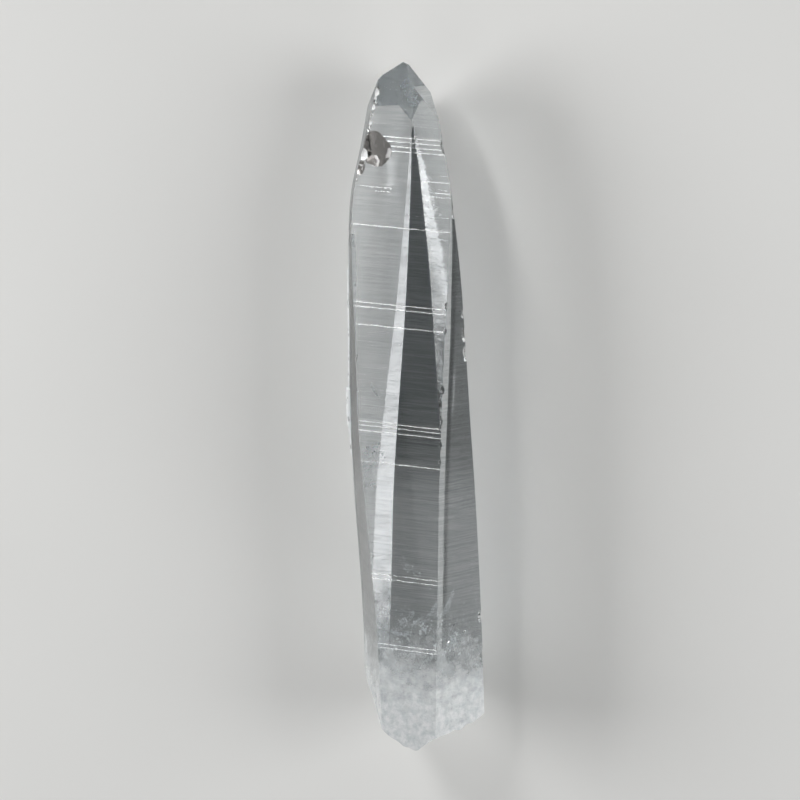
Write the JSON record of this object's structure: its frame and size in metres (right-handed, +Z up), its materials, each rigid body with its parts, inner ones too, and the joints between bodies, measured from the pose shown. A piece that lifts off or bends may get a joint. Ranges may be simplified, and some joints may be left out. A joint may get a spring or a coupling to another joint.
{
  "type": "quartz crystal",
  "caption": "Clear, tapered, striated quartz point with an off-centre tip, chipped edges and a broken milky base, lying on its narrow bottom face.",
  "frame": {"origin": "the middle of the crystal's box, on the surface it lies on", "axes": "+Y along the crystal's long axis, towards its point; +Z up from the surface it lies on; +X across its width"},
  "size_m": [0.024, 0.1064, 0.018],
  "materials": {
    "clear_quartz": "natural crystal faces, finely striated, milky at the broken end"
  },
  "bodies": {
    "root": {"quartz_crystal": "clear_quartz"}
  },
  "joints": []
}
